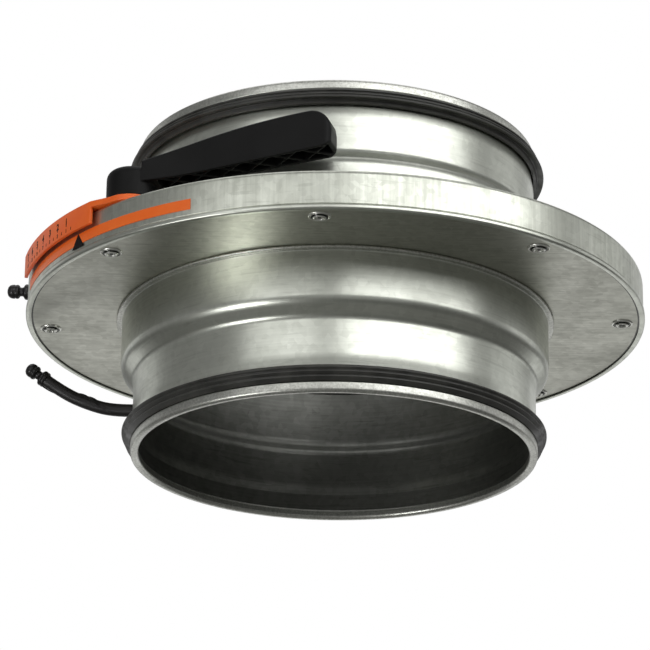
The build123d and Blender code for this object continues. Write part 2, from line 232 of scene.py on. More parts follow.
# Measuring hoses, their caps and the caps' straps
hoseLook = {"radius": 3.2, "strapWidth": 2.6, "strapThick": 0.5, "strapTurns": 0.8, "strapStart": 2.4}
lowerRoute = [
    (-98.206, 20.874, 31.6), (-110.53, 23.494, 32.2), (-123.508, 24.003, 36.0), (-135.508, 24.304, 41.6),
    (-144.546, 24.591, 48.2),
]
upperRoute = [
    (-98.206, 20.874, 127.4), (-110.539, 24.416, 125.6), (-122.03, 29.516, 118.0), (-132.509, 35.0, 107.2),
    (-143.2, 38.6, 100.8), (-155.6, 39.6, 101.6),
]
# stem in the hose, two collars, a narrow neck, and the two rings of the domed head
capProfile = [
    (0, -5), (1.8, -5), (1.8, -0.1), (3.5, 0), (3.9, 0.35), (4.0, 0.9), (3.75, 1.25), (3.75, 1.5),
    (4.0, 1.8), (4.0, 2.5), (3.75, 3.0), (3.0, 3.5), (2.4, 3.9), (2.25, 4.5), (2.3, 5.5), (2.9, 5.95),
    (3.3, 6.2), (3.6, 6.8), (3.6, 7.5), (3.35, 7.8), (3.35, 8.1), (3.6, 8.5), (3.55, 9.6), (3.2, 10.7),
    (2.4, 11.6), (1.3, 12.05), (0, 12.2),
]


def routeCurve(name, route, radius):
    data = bpy.data.curves.new(name, "CURVE")
    data.dimensions = "3D"
    line = data.splines.new("NURBS")
    line.points.add(len(route) - 1)
    for point, place in zip(line.points, route):
        point.co = (place[0] * mm, place[1] * mm, place[2] * mm, 1)
        point.radius = radius * mm  # the curve's box counts this as metres, so the bevel depth is 1
    line.order_u = 3
    line.use_endpoint_u = True
    line.resolution_u = 14
    data.bevel_depth = 1.0 if radius else 0.0
    data.bevel_resolution = 6
    data.use_fill_caps = True
    curve = bpy.data.objects.new(name, data)
    scene.collection.objects.link(curve)
    return curve


def routePoints(name, route):
    # the points of the smooth line itself
    bare = routeCurve(name, route, 0)
    bpy.context.view_layer.update()
    mesh = bpy.data.meshes.new_from_object(bare)
    points = [v.co / mm for v in mesh.vertices]
    bpy.data.objects.remove(bare)
    return points


def capOn(name, line, profile):
    way = (line[-1] - line[-2]).normalized()
    verts, faces = turnProfile(profile, 48)
    turn = way.to_track_quat("Z", "Y")
    return addPiece(name, [turn @ Vector(v) + line[-1] for v in verts], faces, "casing", 50)


def strapOn(name, line, look):
    # a flat strap laid round the hose in a slow turn, thin and narrow where it starts
    verts, faces = [], []
    side = (line[1] - line[0]).cross(Vector((0, 0, 1))).normalized()
    count = len(line)
    first = count // 5
    # lift and reach of the corners of its section
    edge = ((-0.4, -1), (0.35, -1), (1, -0.8), (1, 0.8), (0.35, 1), (-0.4, 1))
    for i in range(first, count):
        way = (line[min(i + 1, count - 1)] - line[max(i - 1, 0)]).normalized()
        side = (side - way * side.dot(way)).normalized()
        share = (i - first) / (count - 1 - first)
        turn = 2 * math.pi * look["strapTurns"] * share + look["strapStart"]
        out = Matrix.Rotation(turn, 3, way) @ side
        across = way.cross(out)
        fade = min(1.0, share * 4)
        for lift, reach in edge:
            lifted = look["radius"] + look["strapThick"] * lift * (0.2 + 0.8 * fade)
            bend = reach * look["strapWidth"] / 2 / look["radius"] * (0.4 + 0.6 * fade)
            verts.append(line[i] + (out * math.cos(bend) + across * math.sin(bend)) * lifted)
    rows, wide = count - first, len(edge)
    for s in range(rows - 1):
        here, there = s * wide, (s + 1) * wide
        faces += [(here + k, here + (k + 1) % wide, there + (k + 1) % wide, there + k) for k in range(wide)]
    faces += [tuple(range(wide)), tuple(range((rows - 1) * wide, rows * wide))]
    return addPiece(name, verts, faces, "casing", 40)


hoses, caps, straps = [], [], []
for side, route, length in (("lower", lowerRoute, 0.0505), ("upper", upperRoute, 0.0677)):
    hose = routeCurve(side + "MeasuringHose", route, hoseLook["radius"])
    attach(hose, "casing")
    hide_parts(side + "_hose")
    line = routePoints(side + "Line", route)
    cap = capOn(side + "HoseCap", line, capProfile)
    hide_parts(side + "_cap")
    strap = strapOn(side + "CapStrap", line, hoseLook)
    hoses.append(hose)
    caps.append(cap)
    straps.append(strap)
print("hoses made")

# Spigots: radii, then heights from the mouth; the seat is the shallow roll that the gasket sits in
spigotSizes = {
    "sheet": 0.8, "wall": 99.2, "neck": 105.8, "bead": 108.6, "flange": 110.0, "foldOut": 99.9,
    "foldIn": 95.7, "seatDeep": 0.9, "foldHigh": 5.0, "seatLow": 13.2, "seatTop": 18.5, "stepLow": 37.6,
    "stepTop": 43.6, "beadHigh": 1.6, "plate": 70.0,
}


def spigotOutline(s):
    # the wall's inside keeps one sheet's distance where it leans outwards
    lean = s["sheet"] * math.tan(math.atan((s["neck"] - s["wall"]) / (s["stepTop"] - s["stepLow"])) / 2)
    top = s["plate"] + s["sheet"]
    seat = s["wall"] - s["seatDeep"]
    inside = [
        (s["foldIn"], s["foldHigh"], 1.3), (seat - s["sheet"], s["foldHigh"], 0.2),
        (seat - s["sheet"], s["seatLow"], 3), (s["wall"] - s["sheet"], s["seatTop"], 24),
        (s["wall"] - s["sheet"], s["stepLow"] - lean, 5.2),
        (s["neck"] - s["sheet"], s["stepTop"] - lean, 6.2),
        (s["neck"] - s["sheet"], top + s["sheet"], 0.6), (s["flange"], top + s["sheet"], 0),
    ]
    outside = [
        (s["flange"], top, 0), (s["neck"], top, 0), (s["neck"], s["plate"], 0), (s["bead"], s["plate"], 0.75),
        (s["bead"], s["plate"] - s["beadHigh"], 0.75), (s["neck"], s["plate"] - s["beadHigh"], 0.5),
        (s["neck"], s["stepTop"], 7.0), (s["wall"], s["stepLow"], 4.4), (s["wall"], s["seatTop"], 24),
        (seat, s["seatLow"], 3), (seat, s["foldHigh"], 0), (s["foldOut"], s["foldHigh"], 0.6),
        (s["foldOut"], 0, 1.7), (s["foldIn"], 0, 1.7),
    ]
    return roundCorners(outside + inside, 9)


def bandFaces(piece, index, test):
    # gives the faces that pass the test another of the piece's materials; the test gets a face's radius,
    # its height and how far it looks outwards
    for face in piece.data.polygons:
        x, y, z = face.center / mm
        radius = math.hypot(x, y)
        if test(radius, z, (face.normal.x * x + face.normal.y * y) / radius):
            face.material_index = index


spigots = []
for side in ("lower", "upper"):
    verts, faces = turnAbout(spigotOutline(spigotSizes))
    verts = turnedOver(verts) if side == "upper" else verts
    spigot = addPiece(side + "Spigot", verts, faces, "casing", 40)
    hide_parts(side + "_spigot")
    spigots.append(spigot)

# Gaskets with three lips; corners are out from the spigot's wall, up from its fold, and the rounding
gasketSizes = {"base": 99.2, "low": 5.1}
gasketCorners = [
    (0, 0, 0), (1.2, 0, 0.4), (3.3, 1.4, 0.25), (3.3, 2.0, 0.25), (2.2, 2.3, 0.3), (4.3, 3.6, 0.25),
    (4.3, 4.2, 0.25), (3.3, 4.3, 0.3), (5.1, 5.3, 0.25), (5.2, 6.0, 0.3), (4.3, 6.3, 0.3), (1.8, 5.5, 0.4),
    (1.4, 8.0, 0.4), (0, 8.0, 0),
]
gaskets = []
for side in ("lower", "upper"):
    corners = [(gasketSizes["base"] + r, gasketSizes["low"] + z, bend) for r, z, bend in gasketCorners]
    verts, faces = turnAbout(roundCorners(corners, 4))
    verts = turnedOver(verts) if side == "upper" else verts
    gasket = addPiece(side + "Gasket", verts, faces, "casing", 60)
    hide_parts(side + "_gasket")
    gaskets.append(gasket)
print("spigots and gaskets made")

# Casing pan with its hem, and the slot in its top; heights from the lower mouth, azimuths in degrees
panSizes = {
    "rim": 152.8, "hem": 153.5, "hemIn": 150.7, "hemLow": 69.2, "hemTop": 71.8, "plate": 70.0, "top": 89.0,
    "sheet": 0.8, "neck": 105.85, "corner": 2.2, "slotPlace": 140.0, "slotStart": -147.5, "slotEnd": -109.0,
    "slotHalf": 3.6,
}


def halfRound(sizes, azimuth, start):
    # half a round about the slot's end at this azimuth
    middle = polar(sizes["slotPlace"], azimuth)
    return [middle + polar(sizes["slotHalf"], start + 180 * k / 16) for k in range(1, 16)]


def cutSlot(piece, sizes):
    # the curved slot that the handle's spacers run in
    first, last, half = sizes["slotStart"], sizes["slotEnd"], sizes["slotHalf"]
    path = [(first + (last - first) * k / 48) for k in range(49)]
    plan = [polar(sizes["slotPlace"] + half, a) for a in path] + halfRound(sizes, last, last)
    plan += [polar(sizes["slotPlace"] - half, a) for a in reversed(path)]
    plan += halfRound(sizes, first, first + 180)
    verts = [(p.x, p.y, z) for z in (sizes["top"] - 3, sizes["top"] + 2) for p in plan]
    cutter = addPiece("slotCutter", verts, prismFaces(len(plan)), "casing")
    applied(piece, "BOOLEAN", object=cutter, operation="DIFFERENCE", solver="EXACT")
    bpy.data.objects.remove(cutter)


def makePan(s):
    inTop = s["top"] - s["sheet"]
    corners = [
        (s["neck"], inTop, 0), (s["rim"] - s["sheet"], inTop, 1.4), (s["rim"] - s["sheet"], s["plate"], 0),
        (s["hemIn"], s["plate"], 0.3), (s["hemIn"], s["hemLow"], 0.35), (s["hem"], s["hemLow"], 1.0),
        (s["hem"], s["hemTop"], 0.8), (s["rim"] - 0.5, s["hemTop"], 0.12),
        (s["rim"], s["hemTop"] + 0.5, 0.25), (s["rim"], s["top"], s["corner"]), (s["neck"], s["top"], 0),
    ]
    verts, faces = turnAbout(roundCorners(corners, 6))
    pan = addPiece("casingPan", verts, faces, "casing", 35)
    cutSlot(pan, s)
    smoothTo(pan.data, 35)
    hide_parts("upper_casing")
    return pan


casingPan = makePan(panSizes)

# Bottom plate; outside the seam's radius its underside gets a dark steel, painted shade of the hem
plateSizes = {
    "inner": 105.85, "seam": 149.9, "outer": 151.9, "low": 70.0, "high": 70.8, "rings": 8, "pivots": 142.3,
    "firstPivot": -3.3, "pivotCount": 8,
}


def makePlate(s):
    wide = s["seam"] - s["inner"]
    radii = [s["inner"] + wide * k / s["rings"] for k in range(s["rings"] + 1)] + [s["outer"]]
    outline = [(r, s["low"]) for r in radii] + [(r, s["high"]) for r in reversed(radii)]
    verts, faces = turnAbout(outline)
    plate = addPiece("bottomPlate", verts, faces, "casing", 35)
    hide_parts("lower_plate")
    return plate


def pivotPlaces(s):
    return [polar(s["pivots"], s["firstPivot"] + 360 / s["pivotCount"] * k) for k in range(s["pivotCount"])]


bottomPlate = makePlate(plateSizes)

# Pivot rivets: a bore, a rolled tubular head and a pressed washer below the plate, then shank, collar and
# head above it
rivetProfile = [
    (0, 69.1), (0.7, 69.15), (0.95, 69.5), (1.0, 69.85), (1.4, 69.9), (1.72, 69.7), (1.8, 69.1),
    (1.98, 68.74), (2.4, 68.6), (2.9, 68.7), (3.25, 69.0), (3.36, 69.3), (3.5, 69.45), (3.95, 69.42),
    (4.15, 69.52), (4.2, 69.7), (4.22, 69.95), (4.5, 69.96), (4.55, 69.62), (4.75, 69.5), (5.1, 69.52),
    (5.3, 69.7), (5.42, 69.98), (2.0, 70.0), (2.0, 70.8), (4.3, 70.85), (4.3, 72.65), (2.0, 72.7),
    (2.0, 73.95), (3.4, 74.0), (3.4, 74.45), (0, 74.5),
]


def makeRivets(profile, s):
    verts, faces = turnProfile(profile, 40)
    parts = [([Vector(v) + place for v in verts], faces) for place in pivotPlaces(s)]
    verts, faces = joined(parts)
    rivets = addPiece("pivotRivets", verts, faces, "casing", 50)
    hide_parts("pivot_rivets")
    return rivets


pivotRivets = makeRivets(rivetProfile, plateSizes)
print("casing made")

# Lever: a moulded shell on a round hub, open below over crossed ribs; its heights are from the foot
leverSizes = {
    "hubPlace": 140.0, "hubAzimuth": -134.0, "foot": 92.3, "hubRadius": 12.0, "hubHigh": 16.0,
    "hubEdge": 4.6, "bore": 2.55, "recess": 5.2, "recessLow": 9.0, "azimuth": -15.6, "start": 7.6,
    "length": 99.1, "root": 6.0, "tip": 7.75, "flare": 4.2, "flareLength": 17.0, "topRoot": 15.4,
    "topBend": 54, "topBendHigh": 31, "topHigh": 36, "nose": 10.0, "lowRoot": 6.4, "lowTip": 17.0,
    "lowEnd": 19.5, "tipRound": 3.0, "wall": 1.8, "crown": 2.4, "edge": 1.8, "slice": 0.8, "rib": 1.2,
    "cells": 6, "ribRise": 0.5, "ribSink": 1.5, "ribInset": 0.9, "ribLast": 95, "voxel": 0.4,
}


def leverTop(along, s):
    # arch from the root through its bend to the top, then a rounded nose
    start = s["length"] - s["nose"]
    slope = (s["topBendHigh"] - s["topRoot"]) / s["topBend"]
    bend = ((s["topHigh"] - s["topRoot"]) / start - slope) / (start - s["topBend"])
    near = min(along, start)
    high = s["topRoot"] + near * slope + near * (near - s["topBend"]) * bend
    if along > start:
        over = along - start
        high += math.sqrt(max(s["nose"] ** 2 - over**2, 0)) - s["nose"]
    return high


def leverLow(along, s):
    near = s["length"] - s["tipRound"]
    if along < near:
        return s["lowRoot"] + along * (s["lowTip"] - s["lowRoot"]) / near
    return s["lowTip"] + (along - near) * (s["lowEnd"] - s["lowTip"]) / s["tipRound"]


def leverHalf(along, s):
    # half the width: flared at the hub, rounded at the tip
    half = s["root"] + (s["tip"] - s["root"]) * along / s["length"]
    half += s["flare"] * math.exp(-((along / s["flareLength"]) ** 2))
    over = along - (s["length"] - s["tipRound"])
    return half if over <= 0 else half - s["tipRound"] + math.sqrt(max(s["tipRound"] ** 2 - over**2, 0.0))


def leverPoint(along, across, high, s):
    hub = polar(s["hubPlace"], s["hubAzimuth"], s["foot"])
    way, side = polar(1, s["azimuth"]), polar(1, s["azimuth"] + 90)
    return hub + way * along + side * across + Vector((0, 0, high))


def leverSection(along, hollow, s):
    half, low, top = leverHalf(along, s), leverLow(along, s), leverTop(along, s)
    outline = [(-half, low)]
    for k in range(6):
        angle = math.pi / 2 * k / 5
        outline.append((-half + s["edge"] * (1 - math.cos(angle)), top - s["edge"] * (1 - math.sin(angle))))
    outline += [(-c, h) for c, h in reversed(outline)]
    if hollow:
        inside = half - s["wall"]
        roof = top - s["crown"]
        outline += [(inside, low), (inside, roof - 1), (inside - 1, roof)]
        outline += [(1 - inside, roof), (-inside, roof - 1), (-inside, low)]
    return outline


def leverRun(start, end, hollow, s):
    count = max(2, int((end - start) / s["slice"]))
    verts, faces = [], []
    for i in range(count + 1):
        along = start + (end - start) * i / count
        section = leverSection(along, hollow, s)
        verts += [leverPoint(along, c, h, s) for c, h in section]
    size = len(section)
    for i in range(count):
        a, b = i * size, (i + 1) * size
        faces += [(a + k, a + (k + 1) % size, b + (k + 1) % size, b + k) for k in range(size)]
    faces += [tuple(range(size)), tuple(range(count * size, (count + 1) * size))]
    return verts, faces


def leverRibs(s):
    parts = []
    start, stop = s["hubRadius"] + 2.0, s["length"] - s["wall"]
    pitch = (stop - start) / s["cells"]
    for k in range(s["cells"]):
        for side in (-1, 1):
            ends = [(start + pitch * k, -side), (start + pitch * (k + 1), side)]
            near, far = [(a, w * (leverHalf(a, s) - s["ribInset"])) for a, w in ends]
            run = Vector((far[0] - near[0], far[1] - near[1])).normalized()
            off = Vector((-run.y, run.x)) * s["rib"] / 2
            corners = [(near[0] + off.x, near[1] + off.y), (far[0] + off.x, far[1] + off.y),
                       (far[0] - off.x, far[1] - off.y), (near[0] - off.x, near[1] - off.y)]
            lows = [leverLow(min(a, s["ribLast"]), s) + s["ribRise"] for a, c in corners]
            tops = [leverTop(a, s) - s["ribSink"] for a, c in corners]
            verts = [leverPoint(a, c, h, s) for (a, c), h in zip(corners * 2, lows + tops)]
            parts.append((verts, prismFaces(4)))
    return parts


def leverHub(s):
    edge = s["hubEdge"]
    turns = [math.pi / 2 * k / 8 for k in range(9)]
    middle, high = s["hubRadius"] - edge, s["hubHigh"] - edge
    outline = [(s["bore"], 0), (s["bore"], s["recessLow"]), (s["recess"], s["recessLow"])]
    outline += [(s["recess"], s["hubHigh"] - 0.5), (s["recess"] + 0.5, s["hubHigh"])]
    outline += [(middle + edge * math.sin(t), high + edge * math.cos(t)) for t in turns]
    outline += [(s["hubRadius"], 0.5), (s["hubRadius"] - 0.5, 0)]
    verts, faces = turnAbout(outline, 96)
    return [Vector(v) + leverPoint(0, 0, 0, s) for v in verts], faces


def makeLever(s):
    # the runs lap over each other a little, and the remesh makes one skin of hub, shell and ribs
    inner, end = s["hubRadius"] + 2.0, s["length"] - s["wall"]
    parts = [leverHub(s), leverRun(s["start"], inner + 0.4, False, s), leverRun(inner, end + 0.3, True, s)]
    parts.append(leverRun(end, s["length"] - 0.02, False, s))
    verts, faces = joined(parts + leverRibs(s))
    lever = addPiece("lever", verts, faces, "control")
    applied(lever, "REMESH", mode="VOXEL", voxel_size=s["voxel"] * mm, use_smooth_shade=True)
    applied(lever, "SMOOTH", factor=0.5, iterations=3)
    applied(lever, "DECIMATE", ratio=0.35)
    lever.data.polygons.foreach_set("use_smooth", [True] * len(lever.data.polygons))
    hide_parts("handle")
    print("lever has", len(lever.data.polygons), "faces")
    return lever


lever = makeLever(leverSizes)

# Scale bracket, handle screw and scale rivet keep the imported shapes, with edges rounded by this much
softEdges = {"scaleBracket": 0.35, "handleScrew": 0.25, "scaleRivet": 0.2}


def softCopy(node, name, angle=40):
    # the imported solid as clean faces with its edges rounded
    mesh = nodes[node].data.copy()
    work = bmesh.new()
    work.from_mesh(mesh)
    bmesh.ops.remove_doubles(work, verts=work.verts, dist=2e-6)
    bmesh.ops.dissolve_limit(work, angle_limit=math.radians(0.6), verts=work.verts, edges=work.edges)
    work.to_mesh(mesh)
    work.free()
    if mesh.has_custom_normals:
        mesh.attributes.remove(mesh.attributes["custom_normal"])
    piece = finishPiece(name, mesh, "control", angle)
    applied(piece, "BEVEL", width=softEdges[name] * mm, segments=3, limit_method="ANGLE",
            angle_limit=math.radians(angle), use_clamp_overlap=True, harden_normals=False)
    smoothTo(piece.data, 30)
    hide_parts(node)
    return piece


scaleBracket = softCopy("scale_bracket", "scaleBracket")

# Figures and ticks of the scale, bent round the bracket's flange
scaleMarks = {
    "radius": 156.0, "proud": 0.05, "first": -145.5, "step": 3.1, "count": 7, "bold": 0.04,
    "figureLow": 86.4, "figureHigh": 3.3, "smallLow": 82.4, "smallHigh": 1.9,
    "tickWide": 0.42, "tickDrop": 1.2, "tickHigh": 1.0, "smallTickRise": 0.1, "smallTickHigh": 1.5,
}


def wrapFlat(verts, azimuth, low, radius, proud):
    # flat artwork (x across, y up, z out) laid on a cylinder; its x grows with azimuth
    placed = []
    for v in verts:
        angle = azimuth + math.degrees(v[0] / radius)
        placed.append(polar(radius + v[2] * proud, angle, low + v[1]))
    return placed


def figureMesh(text, high, bold):
    data = bpy.data.curves.new("figure", "FONT")
    data.body = text
    data.size = high * 1.38  # the font's size is this much more than the height of its figures
    data.align_x = "CENTER"
    data.extrude = 1.0
    data.offset = high * bold
    data.resolution_u = 3
    figure = bpy.data.objects.new("figure", data)
    scene.collection.objects.link(figure)
    bpy.context.view_layer.update()
    mesh = bpy.data.meshes.new_from_object(figure)
    verts = [tuple(v.co) for v in mesh.vertices]
    faces = [tuple(p.vertices) for p in mesh.polygons]
    bpy.data.objects.remove(figure)
    return verts, faces


def tickMesh(wide, high):
    outline = ((-wide / 2, 0), (wide / 2, 0), (wide / 2, high), (-wide / 2, high))
    return [(x, y, z) for z in (-1, 1) for x, y in outline], prismFaces(4)


def makeMarks(s):
    parts = []
    for k in range(s["count"]):
        azimuth = s["first"] - s["step"] * k
        between = azimuth + s["step"] / 2
        flat = [
            (figureMesh(str(k + 1), s["figureHigh"], s["bold"]), s["figureLow"], azimuth),
            (figureMesh(str(2 * k + 1), s["smallHigh"], s["bold"]), s["smallLow"], azimuth),
            (tickMesh(s["tickWide"], s["tickHigh"]), s["figureLow"] - s["tickDrop"], azimuth),
            (tickMesh(s["tickWide"], s["smallTickHigh"]), s["smallLow"] + s["smallTickRise"], between),
        ]
        for (verts, faces), low, place in flat:
            parts.append((wrapFlat(verts, place, low, s["radius"], s["proud"]), faces))
    verts, faces = joined(parts)
    marks = addPiece("scaleFigures", verts, faces, "control", 30)
    return marks


scaleFigures = makeMarks(scaleMarks)

# Label and pointer on the rim
labelSizes = {
    "inside": 152.84, "thick": 0.2, "low": 74.8, "high": 80.1, "start": -168.0, "end": -116.3,
    "pointer": -143.0, "wide": 9.6, "tall": 7.0, "glue": 0.04,
}


def makeLabel(s):
    outside = s["inside"] + s["thick"]
    corners = [
        (s["inside"], s["low"], 0), (outside, s["low"], 0.08),
        (outside, s["high"], 0.08), (s["inside"], s["high"], 0),
    ]
    verts, faces = turnAbout(roundCorners(corners, 3), 120, s["start"], s["end"])
    label = addPiece("rimLabel", verts, faces, "casing", 50)
    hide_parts("index_label")
    return label


def makePointer(s):
    # a triangle in rows, so that it bends with the rim
    rows = 14
    verts, faces = [], []
    for z in (0.0, 1.0):
        for k in range(rows + 1):
            high = -s["tall"] * k / rows
            half = s["wide"] / 2 * k / rows
            verts += [(-half, high, z), (half, high, z)]
    size = 2 * (rows + 1)
    for k in range(rows):
        a = 2 * k
        faces += [(a, a + 1, a + 3, a + 2), (size + a, size + a + 1, size + a + 3, size + a + 2)]
        faces += [(a, a + 2, size + a + 2, size + a), (a + 1, a + 3, size + a + 3, size + a + 1)]
    faces += [(2 * rows, 2 * rows + 1, size + 2 * rows + 1, size + 2 * rows)]
    verts = wrapFlat(verts, s["pointer"], s["high"], s["inside"] + s["thick"] + s["glue"], s["thick"])
    pointer = addPiece("rimPointer", verts, faces, "casing", 40)
    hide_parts("index_pointer")
    return pointer


rimLabel = makeLabel(labelSizes)
rimPointer = makePointer(labelSizes)
handleScrew = softCopy("handle_screw", "handleScrew")
scaleRivet = softCopy("scale_rivet", "scaleRivet")
print("lever, bracket, label and scale made")


# Materials


def zincSheet(name, look):
    # Hot-dip galvanised steel sheet, spun or pressed to shape: a satin metal, clouded in soft patches, with
    # faint crystals, fine lines along the way it was worked, and rub marks.
    material, tree, shader, inMm = startMaterial(name)
    drawn = {0: inMm, 1: look["lines"]}
    along = addNode(tree, "ShaderNodeVectorMath", drawn, operation="MULTIPLY").outputs[0]
    fine = {"Vector": along, "Scale": 1.0, "Detail": 5.0, "Roughness": 0.62}
    lines = addNode(tree, "ShaderNodeTexNoise", fine).outputs[0]
    soft = {"Vector": inMm, "Scale": 1 / look["cloud"], "Detail": 4.0, "Roughness": 0.6}
    cloud = addNode(tree, "ShaderNodeTexNoise", soft).outputs[0]
    cells = {"Vector": inMm, "Scale": 1 / look["crystal"], "Randomness": 1.0}
    crystal = addNode(tree, "ShaderNodeTexVoronoi", cells)
    facet = addNode(tree, "ShaderNodeRGBToBW", {0: crystal.outputs["Color"]}).outputs[0]
    pitted = {"Vector": inMm, "Scale": 1 / look["grain"], "Detail": 3.0, "Roughness": 0.7}
    grain = addNode(tree, "ShaderNodeTexNoise", pitted).outputs[0]
    # clouds, lines and crystals add up about the middle of the scale, each with its share
    part = {0: cloud, 1: look["cloudShare"], 2: 0.5 - look["cloudShare"] / 2}
    clouded = addNode(tree, "ShaderNodeMath", part, operation="MULTIPLY_ADD").outputs[0]
    part = {0: lines, 1: look["lineShare"], 2: clouded}
    lined = addNode(tree, "ShaderNodeMath", part, operation="MULTIPLY_ADD").outputs[0]
    part = {0: facet, 1: look["crystalShare"], 2: lined}
    faced = addNode(tree, "ShaderNodeMath", part, operation="MULTIPLY_ADD").outputs[0]
    share = (look["lineShare"] + look["crystalShare"]) / 2
    even = addNode(tree, "ShaderNodeMapRange", {0: faced, 1: 0.36 + share, 2: 0.64 + share}).outputs[0]
    drawn = {0: inMm, 1: look["rubs"]}
    rubbed = addNode(tree, "ShaderNodeVectorMath", drawn, operation="MULTIPLY").outputs[0]
    wavy = {"Vector": rubbed, "Scale": 1.0, "Detail": 2.0, "Distortion": 0.6}
    rub = addNode(tree, "ShaderNodeTexNoise", wavy).outputs[0]
    mark = addNode(tree, "ShaderNodeMapRange", {0: rub, 1: 0.63, 2: 0.68, 4: -look["marks"]}).outputs[0]
    shade = addNode(tree, "ShaderNodeMath", {0: even, 1: mark}, operation="ADD", use_clamp=True).outputs[0]
    colours = {0: shade, 6: sheetColour(look["dark"]), 7: sheetColour(look["light"])}
    tint = addNode(tree, "ShaderNodeMix", colours, data_type="RGBA").outputs[2]
    span = {0: faced, 1: 0.3 + share, 2: 0.7 + share, 3: look["roughHigh"], 4: look["roughLow"]}
    rough = addNode(tree, "ShaderNodeMapRange", span).outputs[0]
    part = {0: grain, 1: look["grainRelief"], 2: lines}
    relief = addNode(tree, "ShaderNodeMath", part, operation="MULTIPLY_ADD").outputs[0]
    bump = addNode(tree, "ShaderNodeBump", {"Strength": look["bump"], "Distance": 0.0002, "Height": relief})
    tree.links.new(tint, shader.inputs["Base Color"])
    tree.links.new(rough, shader.inputs["Roughness"])
    tree.links.new(bump.outputs[0], shader.inputs["Normal"])
    shader.inputs["Metallic"].default_value = 1.0
    return material


def mouldedPlastic(name, look):
    # Injection-moulded plastic, and the rubbers, film and ink: an even colour with a fine grain that softens
    # the gloss, and a slow haze that keeps large faces from looking flat.
    material, tree, shader, inMm = startMaterial(name)
    sparked = {"Vector": inMm, "Scale": 1 / look["grain"], "Detail": 3.0, "Roughness": 0.6}
    grain = addNode(tree, "ShaderNodeTexNoise", sparked).outputs[0]
    slow = {"Vector": inMm, "Scale": 1 / look["haze"], "Detail": 4.0}
    haze = addNode(tree, "ShaderNodeTexNoise", slow).outputs[0]
    shade = addNode(tree, "ShaderNodeMapRange", {0: haze, 1: 0.35, 2: 0.65}).outputs[0]
    colours = {0: shade, 6: sheetColour(look["dark"]), 7: sheetColour(look["light"])}
    tint = addNode(tree, "ShaderNodeMix", colours, data_type="RGBA").outputs[2]
    span = {0: haze, 1: 0.3, 2: 0.7, 3: look["roughLow"], 4: look["roughHigh"]}
    rough = addNode(tree, "ShaderNodeMapRange", span).outputs[0]
    bump = addNode(tree, "ShaderNodeBump", {"Strength": look["bump"], "Distance": 0.0001, "Height": grain})
    tree.links.new(tint, shader.inputs["Base Color"])
    tree.links.new(rough, shader.inputs["Roughness"])
    tree.links.new(bump.outputs[0], shader.inputs["Normal"])
    shader.inputs["IOR"].default_value = look["ior"]
    shader.inputs["Specular IOR Level"].default_value = look["gloss"]
    return material


# Sheet steel: lines and rubs say how often their pattern changes in a millimetre along x, y and z; cloud,
# crystal and grain are sizes in millimetres. The grain is drawn coarser than a real one, so that it shows.
spunLook = {
    "lines": (0.02, 0.02, 0.9), "rubs": (0.05, 0.05, 0.6), "marks": 0.35, "cloud": 38.0, "crystal": 3.0,
    "grain": 0.7, "cloudShare": 0.5, "lineShare": 0.3, "crystalShare": 0.14, "light": "#dcdfd5",
    "dark": "#c2c5bb", "roughLow": 0.27, "roughHigh": 0.38, "grainRelief": 0.5, "bump": 0.07,
}
rimLook = dict(spunLook, lines=(0.45, 0.45, 0.02), lineShare=0.5, light="#dbded3", dark="#bcbfb4",
               roughLow=0.3, roughHigh=0.42, bump=0.04)
plateLook = dict(
    spunLook, lines=(0.05, 0.7, 0.5), rubs=(0.07, 0.9, 0.6), marks=1.0, cloud=30.0, lineShare=0.35,
    light="#cccdc2", dark="#aeafa4", roughLow=0.34, roughHigh=0.46, bump=0.05,
)
# the bore's steel is a darker copy of the spun steel: painted shade inside the tube
boreShadeLook = dict(spunLook, light="#8c8d88", dark="#6e6f6a", roughLow=0.34, roughHigh=0.44)
crimpLook = dict(spunLook, lines=(0.8, 0.8, 0.8), lineShare=0.6, crystal=0.8, crystalShare=0.2,
                 light="#d6d7d0", dark="#b2b3ac", roughLow=0.32, roughHigh=0.44, bump=0.14)
bladeLook = dict(plateLook, light="#a9aba6", dark="#8d8f8a")
platedLook = dict(spunLook, lines=(0.3, 0.3, 0.3), crystal=1.0, light="#f0f0ea", dark="#d8d9d2",
                  roughLow=0.3, roughHigh=0.42)
# a dark copy of the steel: painted shade, on the plate under the hem and in the rivets' bores and grooves
paintedShadeLook = dict(spunLook, light="#4a4b47", dark="#2c2d2a")
brassLook = dict(spunLook, lines=(0.2, 0.2, 2.0), light="#c9a45c", dark="#a98443")
spunSteel = zincSheet("spunGalvanisedSteel", spunLook)
rimSteel = zincSheet("drawnGalvanisedSteel", rimLook)
plateSteel = zincSheet("flatGalvanisedSteel", plateLook)
boreShadeSteel = zincSheet("boreShadeGalvanisedSteel", boreShadeLook)
crimpedSteel = zincSheet("crimpedGalvanisedSteel", crimpLook)
bladeSteel = zincSheet("bladeSteel", bladeLook)
platedSteel = zincSheet("zincPlatedSteel", platedLook)
paintedShadeSteel = zincSheet("paintedShade", paintedShadeLook)
turnedBrass = zincSheet("turnedBrass", brassLook)

# Plastics, rubbers, film and ink: grain and haze are sizes in millimetres, and here too the grain is drawn
# coarser than a real one.
rubberLook = {
    "grain": 0.35, "haze": 9.0, "light": "#444440", "dark": "#30302d", "roughLow": 0.28, "roughHigh": 0.62,
    "bump": 0.25, "ior": 1.52, "gloss": 0.5,
}
hoseFinish = {
    "grain": 0.4, "haze": 7.0, "light": "#1f1c1c", "dark": "#151313", "roughLow": 0.38, "roughHigh": 0.55,
    "bump": 0.2, "ior": 1.52, "gloss": 0.5,
}
capLook = {
    "grain": 0.4, "haze": 6.0, "light": "#1d1b1b", "dark": "#131212", "roughLow": 0.3, "roughHigh": 0.45,
    "bump": 0.15, "ior": 1.51, "gloss": 0.5,
}
leverLook = {
    "grain": 0.3, "haze": 22.0, "light": "#070707", "dark": "#040404", "roughLow": 0.46, "roughHigh": 0.62,
    "bump": 0.2, "ior": 1.53, "gloss": 0.22,
}
